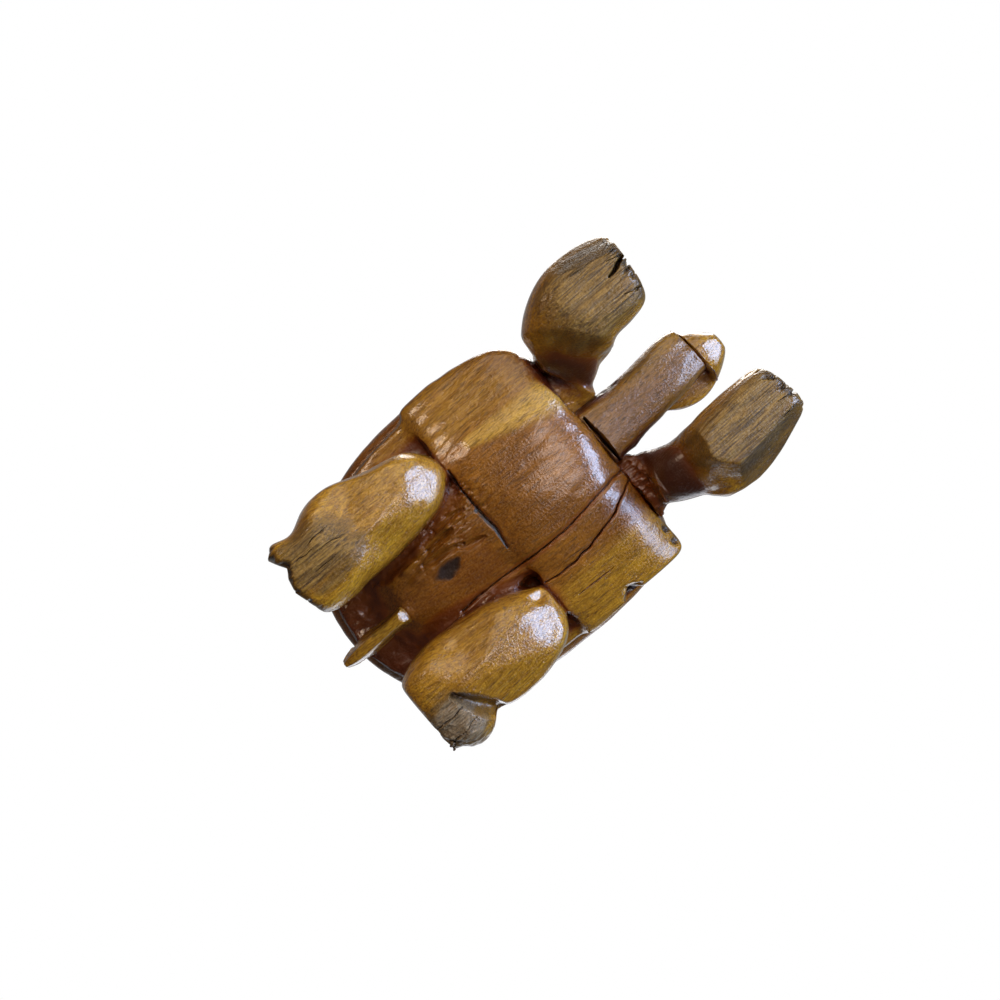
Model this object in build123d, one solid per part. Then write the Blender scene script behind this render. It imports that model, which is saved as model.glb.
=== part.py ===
"""A carved and varnished wooden turtle that stands on four legs, with its head towards -Y.

The carving is put together from a body block, a carapace, a neck, a head, four legs and a tail.
Flat glue faces meet, and round dowels cross them.
While the pieces are made, y is 0 at the middle of the shell, x on the centre line and z on the ground.
At the end everything is moved along y, so that the origin is under the middle of the whole figure.
All sizes are in millimetres. Shares are parts of the size that their comment names.
"""

import math
import os

from build123d import *

# Shell and body
SHELL_LENGTH = 102.0
SHELL_WIDTH = 92.0
DOME_HEIGHT = 30.0
HIP_LEVEL = 27.0  # underside of the plate that the rear legs hang from
PLATE_THICKNESS = 6.0  # from the hips up to the glue plane under the carapace
BELLY_LEVEL = 15.0  # lowest point of the belly
BROW = 4.0  # overhang of the carapace in front of the flat front face
BROW_GAP = 1.2  # room under the overhang for the neck and the front legs
FLANGE_LENGTH = 40.0  # side flanges, from the front face backwards
FLANGE_INSET = 1.3  # flange edge inside the carapace's edge
FLANGE_SHIFT = 0.8  # the flanges sit to the right of the centre line
PLATE_INSET = 3.5  # plate edge inside the carapace's edge
RUMP_WIDTH = 25.0
RUMP_DROP = 10.4  # rump below the plate, at its front end

# Neck and head
NECK_LENGTH = 40.0
NECK_WIDTH = 19.0
NECK_DEPTH = 12.4
NECK_RISE = 5.5  # how far the neck climbs to its front end
HEAD_LENGTH = 26.5
HEAD_WIDTH = 22.0
HEAD_DEPTH = 19.0
HEAD_LAP = 17.0  # length of the neck's end that lies under the head
HEAD_SHIFT = 4.0  # how far the head turns to the left, over the neck's end
SEAT_RISE = 1.4  # head seat above the neck's middle line
JAW_GAP = 0.3  # between the neck's end and the snout that hangs in front of it

# Front legs
FRONT_ROOT_WIDTH = 21.0
FRONT_ROOT_DEPTH = 9.5
ROOT_GAP = 0.5  # between the neck and each front leg, on the front face
RIGHT_FRONT_REACH = 37.0  # from the front face to the toes
RIGHT_FRONT_SPREAD = 32.0  # from the centre line to the middle of the foot
RIGHT_FRONT_WIDTH = 28.0
LEFT_FRONT_REACH = 48.0
LEFT_FRONT_SPREAD = 26.0
LEFT_FRONT_WIDTH = 24.0

# Rear legs
KNEE_GAP = 0.6  # between the back of the flanges and the knees
REAR_SPLAY = 8.0  # how far the right knee stands off the rump's side
RIGHT_REAR_LENGTH = 55.0
RIGHT_REAR_WIDTH = 28.5
LEFT_REAR_LENGTH = 49.0
LEFT_REAR_WIDTH = 28.5

# Tail
TAIL_LENGTH = 25.0
TAIL_REACH = 3.5  # tail behind the carapace's edge
TAIL_SHIFT = 2.3  # the tail sits to the left of the centre line
TAIL_WIDTH = 6.8
TAIL_DEPTH = 9.0
TAIL_RIDGE = 4.2  # width of the keel's blunt edge

# Dowels
HIP_DOWEL_DIAMETER = 6.0  # hips and shell
HIP_DOWEL_HALF_LENGTH = 9.0
ROOT_DOWEL_DIAMETER = 5.0  # neck and front legs
ROOT_DOWEL_HALF_LENGTH = 7.0
HEAD_DOWEL_DIAMETER = 3.5
HEAD_DOWEL_HALF_LENGTH = 5.0
TAIL_DOWEL_DIAMETER = 2.5
TAIL_DOWEL_HALF_LENGTH = 4.0
DOWEL_FIT = 0.05  # glue film round a dowel
DOWEL_END_GAP = 0.5  # glue room past each end of a dowel
OVERRUN = 5.0  # how far cutting solids stand past what they cut

# Carapace edge, from the front to the back, as shares of half the shell's width and half its length
OUTLINE_SHARES = [
    (0.0, -1.0),
    (0.44, -0.985),
    (0.83, -0.90),
    (0.965, -0.64),
    (1.0, -0.2),
    (0.955, 0.26),
    (0.77, 0.66),
    (0.40, 0.925),
    (0.0, 1.0),
]
# The left flange has a square front corner, as shares of half the flanges' width and length
LEFT_FLANGE_SHARES = [
    (0.0, -1.0),
    (0.5, -1.0),
    (0.86, -0.985),
    (0.965, -0.94),
    (0.99, -0.8),
    *OUTLINE_SHARES[4:],
]
# Carapace sections: level as a share of the dome's height, and scale of the edge outline
DOME_SHARES = [
    (0.0, 0.965),
    (0.1, 1.0),
    (0.265, 0.975),
    (0.49, 0.875),
    (0.725, 0.69),
    (0.89, 0.46),
    (0.975, 0.24),
    (1.0, 0.1),
]

# Belly sections: place along the flanges, and lift of the whole section as a share of the belly's height
BELLY_LIFT_SHARES = [(0.0, 0.11), (0.15, 0.02), (0.5, 0.0), (0.85, 0.02), (1.0, 0.12)]
# Underside of one belly section, from right to left, as shares of half its width and of its height
BELLY_SHARES = [
    (-1.0, 0.73),
    (-0.72, 0.41),
    (-0.53, 0.17),
    (-0.44, 0.07),
    (-0.22, 0.015),
    (0.04, 0.0),
    (0.32, 0.04),
    (0.58, 0.2),
    (0.8, 0.43),
    (1.0, 0.66),
]
# Rump sections: place along the rump, width and drop as shares of the rump's own
RUMP_SHARES = [(0.0, 1.15, 1.0), (0.25, 1.06, 0.92), (0.6, 0.94, 0.74), (1.0, 0.8, 0.52)]

# Front leg sections past the root: place along, middle across, underside, top and half width.
# Shares of the reach, of the way from the root to the spread, of the root's top (twice) and of the width.
RIGHT_FRONT_SHARES = [
    (0.195, 0.14, 0.47, 0.95, 0.42),
    (0.39, 0.78, 0.05, 0.82, 0.49),
    (0.61, 1.02, -0.04, 0.68, 0.49),
    (0.84, 1.0, -0.045, 0.6, 0.465),
    (0.95, 0.98, -0.02, 0.55, 0.42),
    (1.0, 0.96, 0.03, 0.5, 0.36),
]
LEFT_FRONT_SHARES = [
    (0.17, 0.16, 0.47, 0.95, 0.445),
    (0.34, 0.84, 0.06, 0.84, 0.475),
    (0.51, 1.05, -0.04, 0.7, 0.52),
    (0.72, 0.85, -0.045, 0.62, 0.505),
    (0.9, 0.55, -0.03, 0.56, 0.43),
    (1.0, 0.4, 0.03, 0.5, 0.34),
]
# Rear leg sections, knee first: place along, inner side across, underside, top and half width.
# Shares of the length, of the splay off the rump's side, of the hip level (twice) and of the width.
RIGHT_REAR_SHARES = [
    (0.0, 1.0, 0.47, 0.79, 0.11),
    (0.06, 0.47, 0.31, 1.02, 0.27),
    (0.21, 0.15, 0.185, 1.13, 0.38),
    (0.4, 0.0, 0.11, 1.15, 0.44),
    (0.58, -0.04, 0.02, 1.09, 0.495),
    (0.73, -0.11, -0.04, 0.93, 0.46),
    (0.88, -0.18, -0.05, 0.7, 0.45),
    (1.0, 0.12, 0.01, 0.55, 0.37),
]
LEFT_REAR_SHARES = [
    (0.0, 1.15, 0.44, 0.76, 0.13),
    (0.08, 0.75, 0.275, 1.0, 0.31),
    (0.25, 0.45, 0.165, 1.11, 0.44),
    (0.45, 0.2, 0.095, 1.13, 0.5),
    (0.6, 0.1, 0.02, 1.09, 0.48),
    (0.71, 0.05, -0.02, 0.96, 0.45),
    (0.82, 0.1, -0.045, 0.8, 0.495),
    (0.92, 0.25, -0.04, 0.66, 0.46),
    (1.0, 0.5, 0.03, 0.53, 0.39),
]
HIP_DOWEL_SHARE = 0.8  # hip dowel off the leg's inner side, as a share of the leg's half width
# Neck and head: place along, middle across, middle up, half width and half depth.
# Shares of the piece's length, the head's shift, the neck's rise, and the piece's width and depth.
NECK_SHARES = [
    (0.0, 0.0, 0.0, 0.5, 0.5),
    (0.3, 0.0, 0.28, 0.48, 0.5),
    (0.62, -0.2, 0.62, 0.455, 0.5),
    (0.88, -0.45, 0.9, 0.445, 0.49),
    (1.0, -0.5, 1.0, 0.41, 0.45),
]
HEAD_SHARES = [
    (0.0, 0.1, 1.2, 0.36, 0.36),
    (0.25, 0.3, 1.55, 0.48, 0.47),
    (0.5, 0.37, 1.5, 0.515, 0.5),
    (0.7, 0.48, 1.28, 0.425, 0.46),
    (0.87, 0.55, 1.05, 0.275, 0.37),
    (1.0, 0.56, 0.9, 0.13, 0.24),
]
# Tail sections: place along the tail, width and depth of the keel as shares of its own
TAIL_SHARES = [(0.0, 1.0, 1.0), (0.5, 0.92, 0.82), (0.88, 0.76, 0.6), (1.0, 0.46, 0.42)]
LEG_SQUARENESS = 2.6  # exponent of the rounded sections: 2 is an ellipse, more is squarer
THIGH_SQUARENESS = 3.0
RUMP_SQUARENESS = 3.0
NECK_SQUARENESS = 4.2
HEAD_SQUARENESS = 2.3
SECTION_POINTS = 16

HALF_WIDTH = SHELL_WIDTH / 2
HALF_LENGTH = SHELL_LENGTH / 2
FRONT_FACE = -HALF_LENGTH + BROW
FLANGE_BACK = FRONT_FACE + FLANGE_LENGTH
TAIL_ROOT = HALF_LENGTH + TAIL_REACH - TAIL_LENGTH
JOINT_LEVEL = HIP_LEVEL + PLATE_THICKNESS
BELLY_HEIGHT = JOINT_LEVEL - BELLY_LEVEL
ROOT_TOP = JOINT_LEVEL - BROW_GAP
ROOT_LEVEL = ROOT_TOP - FRONT_ROOT_DEPTH / 2
ROOT_SPREAD = NECK_WIDTH / 2 + ROOT_GAP + FRONT_ROOT_WIDTH / 2
KNEE = FLANGE_BACK + KNEE_GAP
NECK_LEVEL = ROOT_TOP - NECK_DEPTH / 2
NECK_END = FRONT_FACE - NECK_LENGTH
HEAD_BACK = NECK_END + HEAD_LAP
HEAD_SEAT = NECK_LEVEL + NECK_RISE + SEAT_RISE
FIGURE_SPAN = SHELL_LENGTH + NECK_LENGTH + HEAD_LENGTH + TAIL_LENGTH  # longer than the whole figure

RIGHT, LEFT = -1, 1
BACKWARDS, FORWARDS, UP = Vector(0, 1, 0), Vector(0, -1, 0), Vector(0, 0, 1)


def block(x_span, y_span, z_span):
    """A box between two limits on each axis."""
    spans = (x_span, y_span, z_span)
    size = [high - low for low, high in spans]
    middle = [(high + low) / 2 for low, high in spans]
    return Pos(*middle) * Box(*size)


def slab(y_span, z_span):
    """A box as wide as anything here, between two limits along and up."""
    return block((-FIGURE_SPAN, FIGURE_SPAN), y_span, z_span)


def shell_outline(inset, level, scale=1.0, left_shares=OUTLINE_SHARES):
    """The carapace's edge as a closed curve, drawn in by an inset and scaled about the shell's middle."""
    half_width, half_length = (HALF_WIDTH - inset) * scale, (HALF_LENGTH - inset) * scale
    left = [(x * half_width, y * half_length, level) for x, y in left_shares]
    right = [(-x * half_width, y * half_length, level) for x, y in reversed(OUTLINE_SHARES[1:-1])]
    return Wire(Spline(*left, *right, periodic=True))


def rounded_section(middle, normal, half_width, half_depth, squareness):
    """A closed curve between an ellipse and a rectangle, across a limb that runs along the normal."""
    across = normal.cross(UP).normalized()
    plane = Plane(middle, x_dir=across, z_dir=normal)
    points = []
    for i in range(SECTION_POINTS):
        angle = 2 * math.pi * i / SECTION_POINTS
        c, s = math.cos(angle), math.sin(angle)
        x = math.copysign(abs(c) ** (2 / squareness), c) * half_width
        y = math.copysign(abs(s) ** (2 / squareness), s) * half_depth
        points.append(plane.from_local_coords(Vector(x, y)))
    return Wire(Spline(*points, periodic=True))


def limb(middles, half_widths, half_depths, squareness, root_normal):
    """A loft through rounded sections square to the limb's line. It starts an overrun behind the root."""
    sections = []
    last = len(middles) - 1
    for i, middle in enumerate(middles):
        run = middles[min(i + 1, last)] - middles[max(i - 1, 0)]
        normal = root_normal if i == 0 else run.normalized()
        sections.append(rounded_section(middle, normal, half_widths[i], half_depths[i], squareness))
    behind = middles[0] - root_normal * OVERRUN
    start = rounded_section(behind, root_normal, half_widths[0], half_depths[0], squareness)
    return Solid.make_loft([start, *sections])


def rod(middle, direction, radius, half_length):
    """A cylinder about its middle."""
    return Plane(middle, z_dir=direction) * Cylinder(radius, half_length + half_length)


def dowel_and_hole(middle, direction, diameter, half_length):
    """A dowel across a glue face, and the hole that both pieces get for it."""
    pin = rod(middle, direction, diameter / 2, half_length)
    hole = rod(middle, direction, diameter / 2 + DOWEL_FIT, half_length + DOWEL_END_GAP)
    return pin, hole


def carapace():
    """The domed shell over the whole back, flat underneath."""
    sections = [shell_outline(0, JOINT_LEVEL + DOME_HEIGHT * z, scale) for z, scale in DOME_SHARES]
    return Solid.make_loft(sections)


def belly_section(place, lift):
    """One cross-section of the belly, wider than the flanges, up to the glue plane."""
    y = FRONT_FACE + place * FLANGE_LENGTH
    side = HALF_WIDTH + OVERRUN
    floor = BELLY_LEVEL + lift * BELLY_HEIGHT
    rise = JOINT_LEVEL - floor
    low = [Vector(x * side, y, floor + z * rise) for x, z in BELLY_SHARES]
    top_left, top_right = Vector(side, y, JOINT_LEVEL), Vector(-side, y, JOINT_LEVEL)
    return Wire([Spline(*low), Line(low[-1], top_left), Line(top_left, top_right), Line(top_right, low[0])])


def plan_prism(inset, z_span, left_shares=OUTLINE_SHARES):
    """The carapace's outline, drawn in and extruded between two levels."""
    low, high = z_span
    return extrude(Face(shell_outline(inset, low, left_shares=left_shares)), high - low, dir=UP)


def belly():
    """The convex belly with a flange at each side, flat in front where the neck and front legs join it."""
    barrel = Solid.make_loft([belly_section(place, lift) for place, lift in BELLY_LIFT_SHARES])
    flanges = plan_prism(FLANGE_INSET, (0, JOINT_LEVEL), LEFT_FLANGE_SHARES)
    return barrel & Pos(RIGHT * FLANGE_SHIFT, 0, 0) * flanges


def rear_plate():
    """The plate behind the flanges that carries the rear legs and the tail."""
    plate = plan_prism(PLATE_INSET, (HIP_LEVEL, JOINT_LEVEL))
    return plate & slab((FLANGE_BACK, FIGURE_SPAN), (0, FIGURE_SPAN))


def rump():
    """The ridge under the plate, from the belly back to the tail."""
    run = TAIL_ROOT - FLANGE_BACK
    middles = [Vector(0, FLANGE_BACK + place * run, HIP_LEVEL) for place, _, _ in RUMP_SHARES]
    half_widths = [width * RUMP_WIDTH / 2 for _, width, _ in RUMP_SHARES]
    drops = [drop * RUMP_DROP for _, _, drop in RUMP_SHARES]
    ridge = limb(middles, half_widths, drops, RUMP_SQUARENESS, BACKWARDS)
    return ridge & slab((FLANGE_BACK, TAIL_ROOT), (0, HIP_LEVEL))


def body_block():
    """The belly, the plate behind it and the rump, carved in one."""
    return belly() + rear_plate() + rump()


def front_leg(side, reach, spread, width, shares):
    """A front leg: a root on the front face, an ankle and a thick foot with a flat sole."""
    middles = [Vector(side * ROOT_SPREAD, FRONT_FACE, ROOT_LEVEL)]
    half_widths, half_depths = [FRONT_ROOT_WIDTH / 2], [FRONT_ROOT_DEPTH / 2]
    for place, across, low, high, half_width in shares:
        x = ROOT_SPREAD + across * (spread - ROOT_SPREAD)
        middles.append(Vector(side * x, FRONT_FACE - place * reach, (low + high) / 2 * ROOT_TOP))
        half_widths.append(half_width * width)
        half_depths.append((high - low) / 2 * ROOT_TOP)
    leg = limb(middles, half_widths, half_depths, LEG_SQUARENESS, FORWARDS)
    return leg & slab((-FIGURE_SPAN, FRONT_FACE), (0, FIGURE_SPAN))


def rear_line(side, length, width, shares):
    """The middles, half widths and half depths of a rear leg's sections, outwards from the rump's side."""
    middles, half_widths, half_depths = [], [], []
    for place, inner, low, high, half_width in shares:
        x = RUMP_WIDTH / 2 + inner * REAR_SPLAY + half_width * width
        middles.append(Vector(side * x, KNEE + place * length, (low + high) / 2 * HIP_LEVEL))
        half_widths.append(half_width * width)
        half_depths.append((high - low) / 2 * HIP_LEVEL)
    return middles, half_widths, half_depths


def rear_leg(line):
    """A rear leg: a thick thigh from the knee back to the foot, flat under the plate and at the sole."""
    leg = limb(*line, THIGH_SQUARENESS, BACKWARDS)
    return leg & slab((KNEE, FIGURE_SPAN), (0, HIP_LEVEL))


def along_neck(shares, length, width, depth, start, squareness):
    """A loft in front of the body: the neck or the head."""
    middles = [
        Vector(across * HEAD_SHIFT, start - place * length, NECK_LEVEL + up * NECK_RISE)
        for place, across, up, _, _ in shares
    ]
    half_widths = [share * width for _, _, _, share, _ in shares]
    half_depths = [share * depth for _, _, _, _, share in shares]
    return limb(middles, half_widths, half_depths, squareness, FORWARDS)


def neck():
    """The neck, with its front end cut away on top to take the head."""
    bar = along_neck(NECK_SHARES, NECK_LENGTH, NECK_WIDTH, NECK_DEPTH, FRONT_FACE, NECK_SQUARENESS)
    bar = bar & slab((NECK_END, FRONT_FACE), (0, FIGURE_SPAN))
    return bar - slab((-FIGURE_SPAN, HEAD_BACK), (HEAD_SEAT, FIGURE_SPAN))


def head():
    """The head, seated on the neck's end, with the snout hanging in front of it."""
    skull = along_neck(HEAD_SHARES, HEAD_LENGTH, HEAD_WIDTH, HEAD_DEPTH, HEAD_BACK, HEAD_SQUARENESS)
    skull = skull & slab((-FIGURE_SPAN, HEAD_BACK), (0, FIGURE_SPAN))
    return skull - slab((NECK_END - JAW_GAP, FIGURE_SPAN), (0, HEAD_SEAT))


def tail_section(place, width_share, depth_share):
    """A keel-shaped cross-section that hangs from the plate."""
    y = TAIL_ROOT + place * TAIL_LENGTH
    half_top, half_ridge = width_share * TAIL_WIDTH / 2, width_share * TAIL_RIDGE / 2
    ridge = HIP_LEVEL - depth_share * TAIL_DEPTH
    corners = [(-half_top, HIP_LEVEL), (half_top, HIP_LEVEL), (half_ridge, ridge), (-half_ridge, ridge)]
    return Wire(Polyline(*[Vector(TAIL_SHIFT + x, y, z) for x, z in corners], close=True))


def tail():
    """The tail: a keel with a blunt front end, from the rump to past the carapace's edge."""
    return Solid.make_loft([tail_section(*share) for share in TAIL_SHARES])


def joinery(rear_lines):
    """The dowels by node name, and for each the place, the direction, the size and the drilled pieces."""
    front = {
        "right_front_leg": Vector(RIGHT * ROOT_SPREAD, FRONT_FACE, ROOT_LEVEL),
        "left_front_leg": Vector(LEFT * ROOT_SPREAD, FRONT_FACE, ROOT_LEVEL),
    }
    hip = {}
    for leg, line in rear_lines.items():
        middle, half_width, _ = max(zip(*line), key=lambda section: section[0].Z + section[2])
        inwards = math.copysign(half_width - half_width * HIP_DOWEL_SHARE, middle.X)
        hip[leg] = Vector(middle.X - inwards, middle.Y, HIP_LEVEL)
    shell_y = FRONT_FACE + FLANGE_LENGTH / 2
    neck_root = Vector(0, FRONT_FACE, NECK_LEVEL)
    head_seat = Vector(NECK_SHARES[2][1] * HEAD_SHIFT, HEAD_BACK - HEAD_LAP / 2, HEAD_SEAT)
    tail_root = Vector(TAIL_SHIFT, TAIL_ROOT, HIP_LEVEL - TAIL_DEPTH * RUMP_SHARES[-1][2] / 2)
    shell = [Vector(side * HALF_WIDTH / 2, shell_y, JOINT_LEVEL) for side in (RIGHT, LEFT)]
    at_root = (ROOT_DOWEL_DIAMETER, ROOT_DOWEL_HALF_LENGTH)
    at_head = (HEAD_DOWEL_DIAMETER, HEAD_DOWEL_HALF_LENGTH)
    at_hip = (HIP_DOWEL_DIAMETER, HIP_DOWEL_HALF_LENGTH)
    at_tail = (TAIL_DOWEL_DIAMETER, TAIL_DOWEL_HALF_LENGTH)
    return [
        ("neck_dowel", [(neck_root, FORWARDS, *at_root, ["body_block", "neck"])]),
        ("head_dowel", [(head_seat, UP, *at_head, ["neck", "head"])]),
        ("front_leg_dowels", [(at, FORWARDS, *at_root, ["body_block", leg]) for leg, at in front.items()]),
        ("hip_dowels", [(at, UP, *at_hip, ["body_block", "carapace", leg]) for leg, at in hip.items()]),
        ("tail_dowel", [(tail_root, BACKWARDS, *at_tail, ["body_block", "tail"])]),
        ("shell_dowels", [(at, UP, *at_hip, ["body_block", "carapace"]) for at in shell]),
    ]


def figure():
    """Every piece by name, drilled and doweled, in the place where it was carved."""
    rear_lines = {
        "right_rear_leg": rear_line(RIGHT, RIGHT_REAR_LENGTH, RIGHT_REAR_WIDTH, RIGHT_REAR_SHARES),
        "left_rear_leg": rear_line(LEFT, LEFT_REAR_LENGTH, LEFT_REAR_WIDTH, LEFT_REAR_SHARES),
    }
    right_front = (RIGHT, RIGHT_FRONT_REACH, RIGHT_FRONT_SPREAD, RIGHT_FRONT_WIDTH, RIGHT_FRONT_SHARES)
    left_front = (LEFT, LEFT_FRONT_REACH, LEFT_FRONT_SPREAD, LEFT_FRONT_WIDTH, LEFT_FRONT_SHARES)
    pieces = {
        "carapace": carapace(),
        "body_block": body_block(),
        "neck": neck(),
        "head": head(),
        "right_front_leg": front_leg(*right_front),
        "left_front_leg": front_leg(*left_front),
        "tail": tail(),
    }
    for name, line in rear_lines.items():
        pieces[name] = rear_leg(line)
    for name, joints in joinery(rear_lines):
        pins = []
        for middle, direction, diameter, half_length, drilled in joints:
            pin, hole = dowel_and_hole(middle, direction, diameter, half_length)
            pins.append(pin)
            for piece in drilled:
                pieces[piece] = pieces[piece] - hole
        pieces[name] = Compound([pin.solid() for pin in pins])
    return pieces


def main():
    pieces = figure()
    box = Compound([solid for piece in pieces.values() for solid in piece.solids()]).bounding_box()
    to_origin = Pos(0, -(box.min.Y + box.max.Y) / 2, 0)
    os.makedirs("parts", exist_ok=True)
    for name, piece in pieces.items():
        export_step(to_origin * piece, f"parts/{name}.step")
    print("moved by", to_origin.position, "size", box.size)


main()
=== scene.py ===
import math

import bmesh
import bpy
import numpy as np
from mathutils import Matrix, Vector
from mathutils.bvhtree import BVHTree


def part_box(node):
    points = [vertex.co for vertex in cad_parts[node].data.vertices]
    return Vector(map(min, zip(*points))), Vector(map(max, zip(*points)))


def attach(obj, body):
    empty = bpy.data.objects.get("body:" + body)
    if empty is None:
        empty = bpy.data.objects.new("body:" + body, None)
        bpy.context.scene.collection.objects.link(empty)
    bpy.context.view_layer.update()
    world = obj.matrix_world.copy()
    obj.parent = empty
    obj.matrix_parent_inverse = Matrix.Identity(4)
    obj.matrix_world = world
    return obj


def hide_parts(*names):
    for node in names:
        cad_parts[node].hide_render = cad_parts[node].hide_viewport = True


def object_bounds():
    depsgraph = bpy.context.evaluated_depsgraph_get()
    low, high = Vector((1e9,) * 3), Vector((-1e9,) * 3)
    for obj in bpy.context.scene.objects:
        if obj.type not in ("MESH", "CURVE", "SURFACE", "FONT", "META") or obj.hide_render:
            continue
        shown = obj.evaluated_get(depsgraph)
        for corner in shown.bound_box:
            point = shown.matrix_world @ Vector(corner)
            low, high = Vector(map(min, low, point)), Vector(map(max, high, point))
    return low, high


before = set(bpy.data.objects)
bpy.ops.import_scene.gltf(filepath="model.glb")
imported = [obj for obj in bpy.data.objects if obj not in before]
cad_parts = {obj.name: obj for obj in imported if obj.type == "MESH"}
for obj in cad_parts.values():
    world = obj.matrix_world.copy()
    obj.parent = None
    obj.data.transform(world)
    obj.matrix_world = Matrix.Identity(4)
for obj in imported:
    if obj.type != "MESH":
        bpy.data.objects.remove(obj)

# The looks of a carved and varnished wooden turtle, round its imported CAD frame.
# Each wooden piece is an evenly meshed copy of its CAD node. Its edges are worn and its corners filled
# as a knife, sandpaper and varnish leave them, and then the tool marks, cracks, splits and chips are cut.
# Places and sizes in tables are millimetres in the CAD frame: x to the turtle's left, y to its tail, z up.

cad_low, cad_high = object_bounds()

MM = 0.001
LATTICE = 32  # cells of random numbers each way, repeated by the noise

# Edge of the even mesh on each wooden piece
MESH_CELLS = {
    "carapace": 0.58,
    "body_block": 0.58,
    "neck": 0.32,
    "head": 0.32,
    "right_front_leg": 0.36,
    "left_front_leg": 0.36,
    "right_rear_leg": 0.36,
    "left_rear_leg": 0.36,
    "tail": 0.25,
}
DOWELS = ["neck_dowel", "head_dowel", "front_leg_dowels", "hip_dowels", "tail_dowel", "shell_dowels"]

# Wear and filling
BULK_CELL = 0.8  # cells in which the wood of all the pieces is counted
BULK_MARGIN = 20.0
EDGE_REACH = 1.6  # how far round a point counts for worn edges and filled corners
SHADE_REACH = 5.0  # the same for hollows, painted darker as shade and as pooled varnish
WEAR = 2.6
MOST_WEAR = 0.55
WEAR_PASSES = 2
# Share of the wear that a piece gets: thin and crisp pieces keep their edges
WEAR_SHARES = {"tail": 0.6, "neck": 0.45, "head": 0.6}
# Smoothing rounds before and after the wear, where not the usual number
SANDING = {"carapace": 14, "tail": 12}
USUAL_SANDING = 5

# Frame places that carving refers to
FRONT_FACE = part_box("neck")[1].y / MM
SOLE_LEVEL = 0.0


def colour(hex_code):
    """An sRGB hex colour as linear red, green, blue and alpha."""
    shares = [int(hex_code[i:i + 2], 16) / 255 for i in (1, 3, 5)]
    return (*[c / 12.92 if c <= 0.04045 else ((c + 0.055) / 1.055) ** 2.4 for c in shares], 1.0)


def ramp(low, high, value):
    """0 below low, 1 above high and a smooth step between."""
    t = np.clip((value - low) / (high - low), 0, 1)
    return t * t * (3 - 2 * t)


def between_cells(cells, at, low):
    """The cells' values, blended at places counted in cells. Low holds the cell below each place."""
    part = at - low
    total = np.zeros(len(at))
    for corner in np.ndindex(2, 2, 2):
        weight = np.where(np.array(corner, bool), part, 1 - part).prod(axis=1)
        i, j, k = ((low + corner) % cells.shape).T
        total += weight * cells[i, j, k]
    return total


def swell(points, size, seed):
    """Smooth noise from -1 to 1. Size is how far apart its swells are along x, y and z."""
    cells = np.random.RandomState(seed).uniform(-1, 1, (LATTICE,) * 3)
    at = points / np.asarray(size, float)
    low = np.floor(at).astype(int)
    part = at - low
    return between_cells(cells, low + part * part * (3 - 2 * part), low)


def rough_cuts(points, size, fine_size, seed):
    """Heights of a knife's rough cuts: ones of a size along x, y and z, and finer ones half as high."""
    return np.abs(swell(points, size, seed)) + 0.5 * np.abs(swell(points, fine_size, seed + 1))


def points_of(piece):
    """A piece's vertices in mm."""
    flat = np.empty(len(piece.data.vertices) * 3)
    piece.data.vertices.foreach_get("co", flat)
    return flat.reshape(-1, 3) / MM


def normals_of(piece):
    """The direction out of the wood at each vertex."""
    flat = np.empty(len(piece.data.vertices) * 3)
    piece.data.vertex_normals.foreach_get("vector", flat)
    return flat.reshape(-1, 3)


def move_points(piece, points):
    piece.data.vertices.foreach_set("co", (points * MM).ravel())
    piece.data.update()


def settle(piece):
    """Makes what a piece's modifiers give its own plain mesh."""
    evaluated = piece.evaluated_get(bpy.context.evaluated_depsgraph_get())
    mesh = bpy.data.meshes.new_from_object(evaluated)
    piece.modifiers.clear()
    old = piece.data
    piece.data = mesh
    bpy.data.meshes.remove(old)


def new_piece(name, mesh):
    piece = bpy.data.objects.new(name, mesh)
    bpy.context.scene.collection.objects.link(piece)
    return piece


def mesh_evenly(piece, cell):
    """Meshes a piece again with even cells of a size in mm."""
    remesh = piece.modifiers.new("even_cells", "REMESH")
    remesh.mode = "VOXEL"
    remesh.voxel_size = cell * MM
    remesh.use_smooth_shade = True
    settle(piece)


def even_copy(node):
    """A merged copy of a CAD node, meshed again with even cells."""
    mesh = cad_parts[node].data.copy()
    shape = bmesh.new()
    shape.from_mesh(mesh)
    bmesh.ops.remove_doubles(shape, verts=shape.verts, dist=MM * MM)
    shape.to_mesh(mesh)
    shape.free()
    mesh.materials.clear()
    piece = new_piece(f"carved_{node}", mesh)
    mesh_evenly(piece, MESH_CELLS[node])
    return piece


# Rough wood left between the rear legs: level of its crest at places along y, and its rise beside the crest
FILL_CREST = [(14, 16.8), (24, 17.8), (37, 19.8), (51, 22.8), (61, 27.5)]
FILL_RISE = 1.6
FILL_HALF_WIDTH = 13.0
FILL_EDGES = (17.0, 20.0)  # it ends under the legs
HIP_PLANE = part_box("right_rear_leg")[1].z / MM


def fill_rump(piece):
    """Lowers the plate and the rump's sides to one rough saddle that joins the rump to the rear legs."""
    points = points_of(piece)
    off = np.abs(points[:, 0])
    level = np.interp(points[:, 1], *np.transpose(FILL_CREST)) + FILL_RISE * (off / FILL_HALF_WIDTH) ** 2
    level += (HIP_PLANE - level) * ramp(*FILL_EDGES, off)
    first, last = FILL_CREST[0][0], FILL_CREST[-1][0]
    behind = (points[:, 1] > first) & (points[:, 1] < last) & (points[:, 2] < HIP_PLANE + 0.3)
    points[behind, 2] = np.minimum(points[behind, 2], level[behind])
    move_points(piece, points)
    mesh_evenly(piece, MESH_CELLS["body_block"])


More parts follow.
